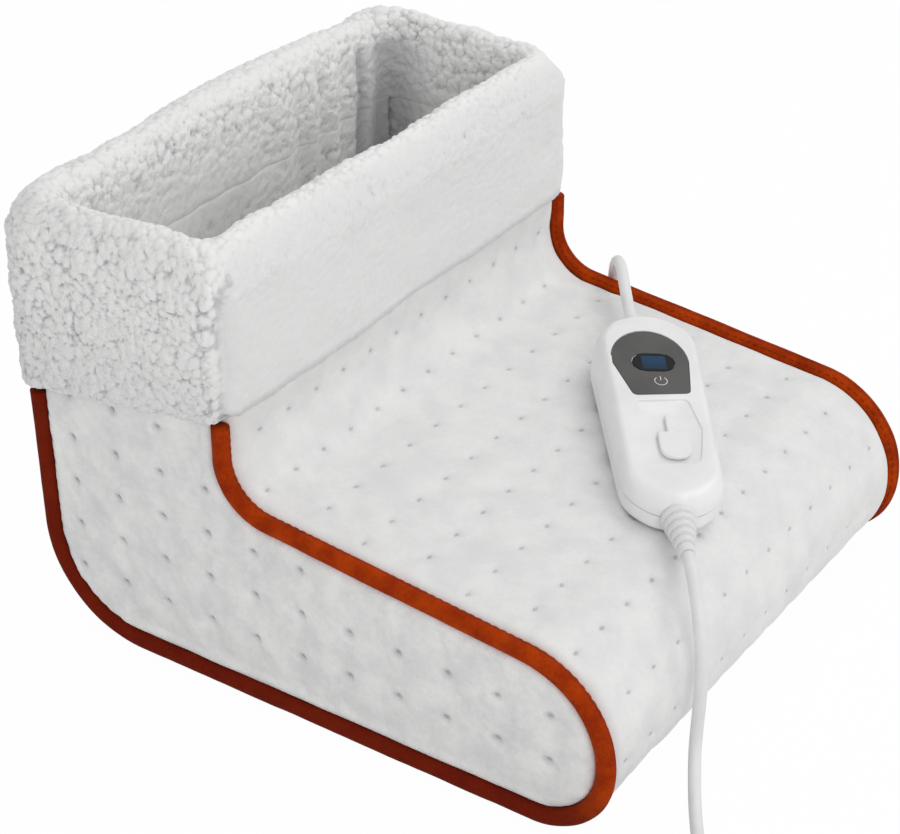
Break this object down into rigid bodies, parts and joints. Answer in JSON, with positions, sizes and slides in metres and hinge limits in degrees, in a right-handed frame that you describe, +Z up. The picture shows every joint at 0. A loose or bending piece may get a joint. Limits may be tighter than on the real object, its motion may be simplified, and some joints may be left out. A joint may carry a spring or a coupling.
{
  "type": "electric foot warmer",
  "caption": "Electric foot warmer for both feet: a quilted fabric boot with edge piping, a folded fleece collar, a heated sole and a slider hand controller on its cord.",
  "frame": {"origin": "centre of the boot's footprint, on the floor under the sole", "axes": "+X across the boot towards the side where the cord leaves, +Y from the toe to the heel, +Z up from the floor"},
  "size_m": [0.5277, 0.4248, 0.235],
  "materials": {
    "shell_fabric": "short plush, matt, quilted by spot welds",
    "collar_fleece": "curly fleece, matt",
    "lining_fleece": "curly fleece, matt",
    "sole_fabric": "woven, matt, with anti-slip dots",
    "piping_tape": "woven tape, matt",
    "felt": "needled felt, matt",
    "foam": "open foam, matt",
    "wire_jacket": "matt",
    "housing_plastic": "fine moulded texture, satin",
    "inlay_plastic": "satin",
    "lens_plastic": "glossy",
    "board": "solder mask, satin",
    "dark_plastic": "matt",
    "bright_metal": "bright",
    "cord_rubber": "satin"
  },
  "bodies": {
    "boot": {"upper_panel": "shell_fabric", "back_panel": "shell_fabric", "sole_panel": "sole_fabric", "side_panel_left": "shell_fabric", "side_panel_right": "shell_fabric", "edge_piping_left": "piping_tape", "edge_piping_right": "piping_tape", "collar_cuff": "collar_fleece", "liner_upper": "lining_fleece", "liner_back": "lining_fleece", "liner_left": "lining_fleece", "liner_right": "lining_fleece", "liner_sole": "lining_fleece", "insole_foam": "foam", "heater_felt_lower": "felt", "heater_felt_upper": "felt", "heating_wire": "wire_jacket", "thermal_cutout_1": "dark_plastic", "thermal_cutout_2": "dark_plastic", "terminal_sleeve": "dark_plastic", "inner_lead": "cord_rubber", "cord_gland": "cord_rubber", "lead_cord": "cord_rubber", "controller_top_shell": "housing_plastic", "controller_base_shell": "housing_plastic", "housing_screw_1": "bright_metal", "housing_screw_2": "bright_metal", "housing_screw_3": "bright_metal", "housing_screw_4": "bright_metal", "fascia": "inlay_plastic", "display_lens": "lens_plastic", "display_module": "dark_plastic", "slide_switch": "dark_plastic", "circuit_board": "board", "fuse": "bright_metal", "capacitor": "dark_plastic", "triac": "dark_plastic", "terminal_block_head": "dark_plastic", "terminal_block_tail": "dark_plastic", "strain_relief_in": "cord_rubber", "strain_relief_out": "cord_rubber", "mains_cord": "cord_rubber", "cord_coil": "cord_rubber", "cord_tie": "dark_plastic", "plug_body": "cord_rubber", "plug_pin_1": "bright_metal", "plug_pin_2": "bright_metal"},
    "slider": {"slider_knob": "housing_plastic", "slider_carrier": "dark_plastic", "wiper_contact": "bright_metal"}
  },
  "joints": [
    {"name": "slider_travel", "type": "slide", "parent": "boot", "child": "slider", "axis": [0.7822, 0.6016, 0.162], "range_m": [0, 0.012]}
  ]
}
